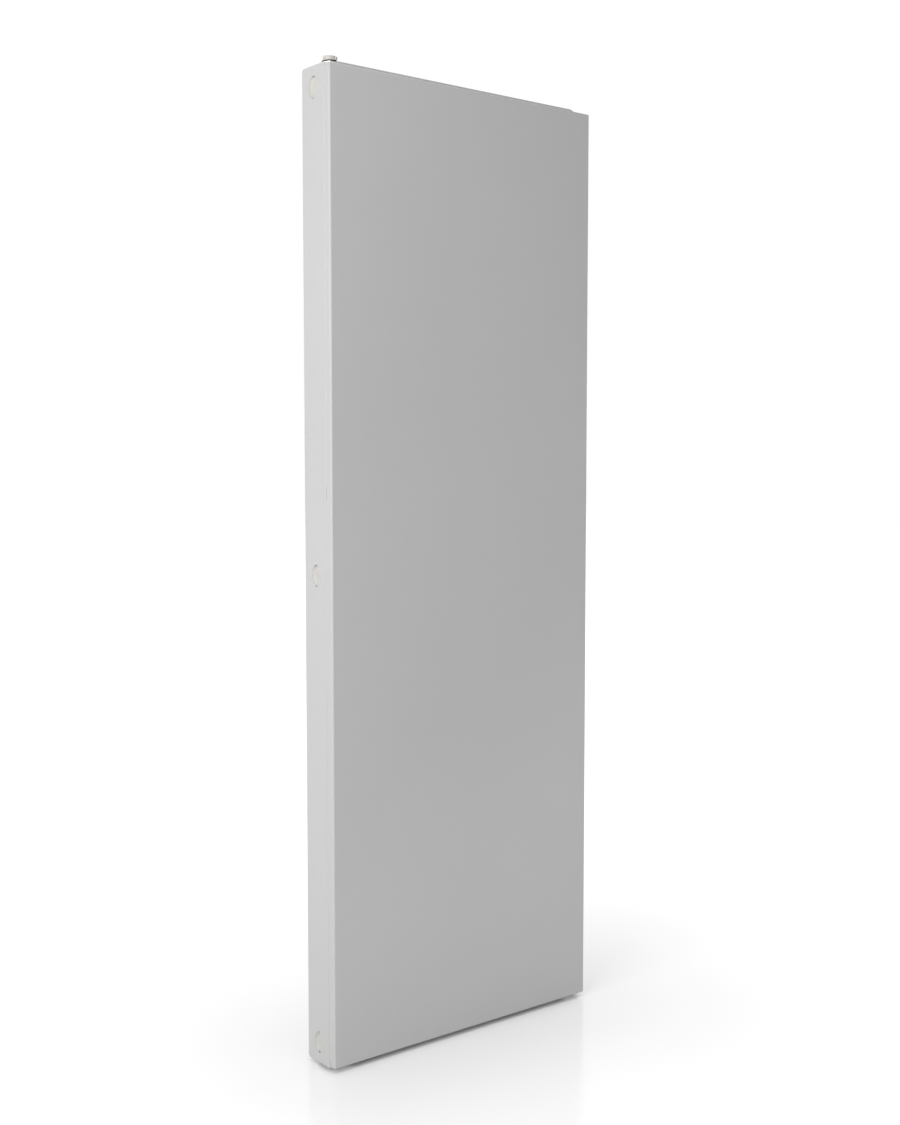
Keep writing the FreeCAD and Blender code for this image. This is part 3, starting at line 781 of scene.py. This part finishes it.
class RADIATOR_OT_water_panels(bpy.types.Operator):
    """Two water panels, each of two pressed sheets, with the marks of their spot welds"""
    bl_idname = "radiator.water_panels"
    bl_label = "Water Panels"

    def execute(self, context):
        sizes, finish = settings(context)
        material = kept_material(powder_coat, finish)
        for node, side in PANEL_SHEETS:
            low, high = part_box(node)
            seam = (low.y if side > 0 else high.y) + side * sizes.panel_sheet / 2
            sheet = drawn_piece(node.replace("_sheet", "_pressing"), [], [], [])
            grow(sheet, kept_tree(pressed_sheet_tree), {
                "Width": high.x - low.x, "Height": high.z - low.z, "Channels": sizes.panel_channels,
                "Pitch": channel_pitch(sizes), "Flange": sizes.panel_flange, "Header": sizes.panel_header,
                "Corner": sizes.panel_corner, "Land": sizes.land_width, "Draft": sizes.land_draft,
                "Depth": high.y - low.y - sizes.panel_sheet, "Seam": seam, "Side": float(side),
                "Columns": CHANNEL_COLUMNS, "Rows": PANEL_ROWS, "Material": material})
            thicken(sheet, sizes.panel_sheet)
            settle(sheet)
            hand_over(sheet, material, "coated_steel", node)
        self.weld_marks(sizes, material)
        return {"FINISHED"}

    def weld_marks(self, sizes, material):
        """Shallow marks along the lands of the panel's wall side."""
        low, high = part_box("rear_panel_rear_sheet")
        run = high.z - low.z - 2 * (sizes.panel_flange + sizes.panel_header + sizes.land_width)
        marks = drawn_piece("rear_weld_marks", [], [], [])
        centre = ((low.x + high.x) / 2, low.y + sizes.panel_sheet, (low.z + high.z) / 2)
        rows = int(run / sizes.weld_spacing)
        grow(marks, kept_tree(weld_row_tree), {
            "Columns": sizes.panel_channels - 1, "Rows": rows, "Spacing": run / (rows - 1),
            "Pitch": channel_pitch(sizes), "Centre": centre,
            "Turn": (-math.pi / 2, 0.0, 0.0), "Radius": sizes.weld_radius, "Top": sizes.weld_top,
            "Rise": sizes.weld_height, "Material": material})
        settle(marks)
        shade_by_angle(marks)
        hand_over(marks, material, "coated_steel")


class RADIATOR_OT_convectors(bpy.types.Operator):
    """Corrugated convectors between the panels"""
    bl_idname = "radiator.convectors"
    bl_label = "Convectors"

    def execute(self, context):
        sizes, finish = settings(context)
        material = kept_material(powder_coat, finish)
        for node, side in (("front_convector", 1), ("rear_convector", -1)):
            low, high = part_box(node)
            foot, crest = (low.y, high.y) if side > 0 else (high.y, low.y)
            fins = drawn_piece(node.replace("_convector", "_fins"), [], [], [])
            grow(fins, kept_tree(corrugated_tree), {
                "Folds": sizes.panel_channels, "First": first_channel(sizes), "Pitch": channel_pitch(sizes),
                "Foot": sizes.convector_foot, "Draft": sizes.convector_draft,
                "Foot Level": foot + side * sizes.convector_sheet / 2,
                "Crest Level": crest - side * sizes.convector_sheet / 2,
                "Low": low.z, "Run": high.z - low.z, "Bend": sizes.convector_bend, "Material": material})
            thicken(fins, sizes.convector_sheet)
            settle(fins)
            shade_by_angle(fins)
            hand_over(fins, material, "coated_steel", node)
        return {"FINISHED"}


def bent_strap(name, line, bend, run, sheet, edge, material):
    """Strap of sheet bent along a drawn middle line."""
    edges = [(index, index + 1) for index in range(len(line) - 1)]
    strap = drawn_piece(name, line, edges, [])
    grow(strap, kept_tree(folded_tree), {"Bend": bend, "Run": run, "Material": material})
    thicken(strap, sheet)
    settle(strap)
    round_edges(strap, edge, EDGE_STEPS)
    return strap


class RADIATOR_OT_plate_rails(bpy.types.Operator):
    """Hat rails between the front plate and the front panel"""
    bl_idname = "radiator.plate_rails"
    bl_label = "Plate Rails"

    def execute(self, context):
        sizes, finish = settings(context)
        material = kept_material(powder_coat, finish)
        for node in RAILS:
            low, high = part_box(node)
            middle = (low.z + high.z) / 2
            foot = low.y + sizes.rail_sheet / 2
            crown = high.y - sizes.rail_sheet / 2
            reach = (high.z - low.z) / 2
            half_crown = sizes.rail_crown / 2
            rises = ((-reach, foot), (sizes.rail_foot - reach, foot), (-half_crown, crown),
                     (half_crown, crown), (reach - sizes.rail_foot, foot), (reach, foot))
            line = [(low.x, y, middle + rise) for rise, y in rises]
            rail = bent_strap(node.replace("_rail", "_hat"), line, sizes.rail_bend,
                              (high.x - low.x, 0.0, 0.0), sizes.rail_sheet, sizes.edge / 2, material)
            hand_over(rail, material, "coated_steel", node)
        return {"FINISHED"}


class RADIATOR_OT_hanging_lugs(bpy.types.Operator):
    """Lugs on the wall side that the wall hooks enter"""
    bl_idname = "radiator.hanging_lugs"
    bl_label = "Hanging Lugs"

    def execute(self, context):
        sizes, finish = settings(context)
        material = kept_material(powder_coat, finish)
        half = sizes.lug_sheet / 2
        for node in LUGS:
            low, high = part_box(node)
            shoulder = sizes.lug_foot + half
            foot = low.y + half
            bridge = high.y - half
            spots = ((low.x, foot), (low.x + shoulder, foot), (low.x + shoulder, bridge),
                     (high.x - shoulder, bridge), (high.x - shoulder, foot), (high.x, foot))
            line = [(x, y, low.z) for x, y in spots]
            lug = bent_strap(node.replace("_lug", "_hook_strap"), line, sizes.lug_bend,
                             (0.0, 0.0, high.z - low.z), sizes.lug_sheet, sizes.edge, material)
            hand_over(lug, material, "coated_steel", node)
        return {"FINISHED"}


class RADIATOR_OT_brackets(bpy.types.Operator):
    """Clips of the side covers and spacers between the panels"""
    bl_idname = "radiator.brackets"
    bl_label = "Clips and Spacers"

    def execute(self, context):
        sizes, finish = settings(context)
        for side_name in SIDES:
            node = side_name + "_cover_clips"
            clips = softened_copy(side_name + "_spring_clips", node, sizes.edge / 2)
            hand_over(clips, kept_material(zinc_sheet, finish), "zinc_steel", node)
            node = side_name + "_panel_spacer"
            spacer = softened_copy(side_name + "_channel_spacer", node, sizes.edge / 2)
            hand_over(spacer, kept_material(powder_coat, finish), "coated_steel", node)
        return {"FINISHED"}


class RADIATOR_OT_corner_tees(bpy.types.Operator):
    """Corner tees with their threaded bosses"""
    bl_idname = "radiator.corner_tees"
    bl_label = "Corner Tees"

    def execute(self, context):
        sizes, finish = settings(context)
        for side_name in SIDES:
            node = side_name + "_tees"
            tees = softened_copy(side_name + "_corner_blocks", node, sizes.block_edge, BLOCK_EDGE_STEPS)
            hand_over(tees, kept_material(powder_coat, finish), "coated_steel", node)
        return {"FINISHED"}


def turned_ring(name, centre, profile, around):
    """Closed ring turned about an upright axis from a closed profile of radius and height."""
    points = []
    faces = []
    count = len(profile)
    for index in range(around):
        angle = math.tau * index / around
        for radius, height in profile:
            points.append(centre + Vector((radius * math.cos(angle), radius * math.sin(angle), height)))
        for step in range(count):
            here = index * count
            there = (index + 1) % around * count
            after = (step + 1) % count
            faces.append((here + step, there + step, there + after, here + after))
    return drawn_piece(name, points, [], faces)


class RADIATOR_OT_vent(bpy.types.Operator):
    """Vent: plug, rubber washer, turning outlet and bleed screw"""
    bl_idname = "radiator.vent"
    bl_label = "Vent"

    def execute(self, context):
        sizes, finish = settings(context)
        plug = softened_copy("vent_body", "vent_plug", sizes.fitting_edge)
        hand_over(plug, kept_material(nickel_plate, finish), "nickel_brass", "vent_plug")
        outlet = softened_copy("vent_spout", "vent_outlet", sizes.outlet_edge, OUTLET_EDGE_STEPS)
        hand_over(outlet, kept_material(ivory_plastic, finish), "vent_plastic", "vent_outlet",
                  body="vent_outlet")
        screw = softened_copy("key_screw", "bleed_screw", sizes.fitting_edge)
        hand_over(screw, kept_material(plain_brass, finish), "screw_brass", "bleed_screw", body="bleed_screw")
        self.washer(sizes, finish)
        return {"FINISHED"}

    def washer(self, sizes, finish):
        """Black ring round the plug's neck, under the outlet."""
        low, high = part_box("vent_plug")
        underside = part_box("vent_outlet")[0].z
        centre = Vector(((low.x + high.x) / 2, (low.y + high.y) / 2, underside))
        half = sizes.washer_height / 2
        outer = sizes.washer_radius - half
        level = -sizes.washer_gap - half
        profile = [(sizes.washer_bore, level + half), (sizes.washer_bore, level - half)]
        for turn in range(WASHER_STEPS + 1):
            angle = math.pi * (turn / WASHER_STEPS - 0.5)
            profile.append((outer + half * math.cos(angle), level + half * math.sin(angle)))
        ring = turned_ring("vent_washer", centre, profile, WASHER_AROUND)
        shade_by_angle(ring)
        hand_over(ring, kept_material(black_rubber, finish), None)


class RADIATOR_OT_blanking_plug(bpy.types.Operator):
    """Blanking plug in the other upper tapping"""
    bl_idname = "radiator.blanking_plug"
    bl_label = "Blanking Plug"

    def execute(self, context):
        sizes, finish = settings(context)
        plug = softened_copy("blank_plug", "blanking_plug", sizes.fitting_edge)
        hand_over(plug, kept_material(nickel_plate, finish), "nickel_brass", "blanking_plug")
        return {"FINISHED"}


def light_path(nodes):
    """One where the camera, a gloss or a clear body looks straight at a surface."""
    path = nodes.add("ShaderNodeLightPath").outputs
    seen = nodes.math("MAXIMUM", path["Is Camera Ray"], path["Is Glossy Ray"])
    return nodes.math("MAXIMUM", seen, path["Is Transmission Ray"])


class RADIATOR_OT_stage(bpy.types.Operator):
    """White studio: room light, floor, mirrored wall, lamps and camera"""
    bl_idname = "radiator.stage"
    bl_label = "Stage"

    def execute(self, context):
        stage = context.scene.radiator_stage
        context.scene.view_settings.view_transform = "Standard"
        self.room(context, stage)
        self.floor(stage)
        self.wall(stage)
        self.lamps(context, stage)
        self.camera(context, stage)
        return {"FINISHED"}

    def room(self, context, stage):
        """Soft light from all round, with a white background."""
        world = bpy.data.worlds.new("studio")
        world.use_nodes = True
        context.scene.world = world
        nodes = Nodes(world.node_tree)
        world.node_tree.nodes.clear()
        light = nodes.add("ShaderNodeBackground", {"Color": (*stage.ambient, 1.0)})
        white = nodes.add("ShaderNodeBackground", {"Color": (1.0, 1.0, 1.0, 1.0)})
        mixed = nodes.add("ShaderNodeMixShader",
                          {0: light_path(nodes), 1: light.outputs[0], 2: white.outputs[0]})
        nodes.add("ShaderNodeOutputWorld", {"Surface": mixed.outputs[0]})

    def floor(self, stage):
        """Smooth white floor that keeps the object's rendered shadow, with painted shade added: its
        brightening for the camera is held back at the radiator's foot and grows away from it.
        """
        half = stage.floor_side / 2
        corners = [(-half, -half, 0.0), (half, -half, 0.0), (half, half, 0.0), (-half, half, 0.0)]
        floor = drawn_piece("floor", corners, [], [(0, 1, 2, 3)])
        paint = Finish("floor_paint", stage.floor_gloss)
        paint.tint(paint.noise(scale=0.6), stage.floor, spread=0.004)
        glow = paint.add("ShaderNodeEmission", {"Color": (1.0, 1.0, 1.0, 1.0)})
        # Painted contact shadow: the brightening is held back at the radiator's foot and begins only over the
        # fade beyond it.
        away = self.beyond_contact(paint, stage)
        near = paint.ramp(away, 0.0, stage.contact_fade, 0.0, stage.floor_lift)
        # Painted light: further brightening that grows with the distance from the radiator, leaving the floor
        # round it darker.
        far = paint.ramp(away, stage.far_start, stage.far_end, 0.0, stage.far_lift)
        lift = paint.math("ADD", near, far)
        paint.put(glow.inputs["Strength"], paint.math("MULTIPLY", light_path(paint), lift))
        both = paint.add("ShaderNodeAddShader", {0: paint.tree.nodes["Principled BSDF"].outputs[0],
                                                 1: glow.outputs[0]})
        paint.put(paint.tree.nodes["Material Output"].inputs["Surface"], both.outputs[0])
        floor.data.materials.append(paint.material)

    def beyond_contact(self, paint, stage):
        """Distance of a point of the floor from the ground under the radiator, where the painted contact
        shadow lies.
        """
        away = paint.add("ShaderNodeVectorMath", {0: paint.place}, operation="ABSOLUTE").outputs[0]
        for operation, other in (("SUBTRACT", stage.contact), ("MAXIMUM", (0.0, 0.0, 0.0))):
            away = paint.add("ShaderNodeVectorMath", {0: away, 1: other}, operation=operation).outputs[0]
        return paint.add("ShaderNodeVectorMath", {0: away}, operation="LENGTH").outputs["Value"]

    def wall(self, stage):
        """Grey wall beside the camera, out of its view, that the satin front mirrors."""
        towards = Vector((-stage.camera_place[0], stage.camera_place[1], 0.0)).normalized()
        along = Vector((-towards.y, towards.x, 0.0)) * stage.wall_width / 2
        foot = towards * stage.wall_distance
        up = Vector((0.0, 0.0, 1.0))
        corners = [foot - along + up * stage.wall_left[0], foot + along + up * stage.wall_right[0],
                   foot + along + up * stage.wall_right[1], foot - along + up * stage.wall_left[1]]
        wall = drawn_piece("grey_wall", corners, [], [(0, 1, 2, 3)])
        paint = Finish("wall_paint", stage.wall_gloss)
        paint.tint(paint.noise(scale=1.5), stage.wall, spread=0.03)
        wall.data.materials.append(paint.material)
        wall.visible_camera = False
        wall.visible_diffuse = False
        wall.visible_shadow = False

    def lamps(self, context, stage):
        """Large soft lamp on the left, a weak one on the right and soft light from above."""
        above = bpy.data.lights.new("top_light", "SUN")
        above.energy = stage.top_strength
        above.angle = stage.top_angle
        context.scene.collection.objects.link(bpy.data.objects.new("top_light", above))
        self.softbox(context, "left_softbox", stage.key_power, stage.key_size,
                     stage.key_place, stage.key_aim)
        self.softbox(context, "right_softbox", stage.fill_power, stage.fill_size,
                     stage.fill_place, stage.fill_aim)

    def softbox(self, context, name, power, size, place, aim):
        """Square lamp that points from its place at its aim."""
        lamp = bpy.data.lights.new(name, "AREA")
        lamp.energy = power
        lamp.size = size
        softbox = bpy.data.objects.new(name, lamp)
        softbox.location = place
        softbox.rotation_euler = (Vector(aim) - Vector(place)).to_track_quat("-Z", "Y").to_euler()
        context.scene.collection.objects.link(softbox)

    def camera(self, context, stage):
        """Camera low on the left."""
        lens = bpy.data.cameras.new("camera")
        lens.lens = stage.lens
        lens.sensor_width = stage.sensor
        camera = bpy.data.objects.new("camera", lens)
        camera.location = stage.camera_place
        camera.rotation_euler = stage.camera_turn
        context.scene.collection.objects.link(camera)
        context.scene.camera = camera


OPERATORS = (RADIATOR_OT_front_plate, RADIATOR_OT_side_covers, RADIATOR_OT_caps, RADIATOR_OT_water_panels,
             RADIATOR_OT_convectors, RADIATOR_OT_plate_rails, RADIATOR_OT_hanging_lugs, RADIATOR_OT_brackets,
             RADIATOR_OT_corner_tees, RADIATOR_OT_vent, RADIATOR_OT_blanking_plug, RADIATOR_OT_stage)


class RADIATOR_PT_build(bpy.types.Panel):
    """Buttons that build the radiator piece by piece"""
    bl_idname = "RADIATOR_PT_build"
    bl_label = "Panel Radiator"
    bl_space_type = "VIEW_3D"
    bl_region_type = "UI"
    bl_category = "Radiator"

    def draw(self, context):
        for operator in OPERATORS:
            self.layout.operator(operator.bl_idname)


GROUPS = {"radiator_sizes": RadiatorSizes, "radiator_finish": RadiatorFinish, "radiator_stage": RadiatorStage}


def register():
    """Registers the settings, the operators and the panel."""
    for name, group in GROUPS.items():
        bpy.utils.register_class(group)
        setattr(bpy.types.Scene, name, PointerProperty(type=group))
    for operator in OPERATORS:
        bpy.utils.register_class(operator)
    bpy.utils.register_class(RADIATOR_PT_build)


def unregister():
    """Takes the panel, the operators and the settings away again."""
    bpy.utils.unregister_class(RADIATOR_PT_build)
    for operator in reversed(OPERATORS):
        bpy.utils.unregister_class(operator)
    for name, group in GROUPS.items():
        delattr(bpy.types.Scene, name)
        bpy.utils.unregister_class(group)


def main():
    """Builds every piece and the stage."""
    register()
    for operator in OPERATORS:
        group, name = operator.bl_idname.split(".")
        getattr(getattr(bpy.ops, group), name)()


if __name__ == "__main__":
    main()
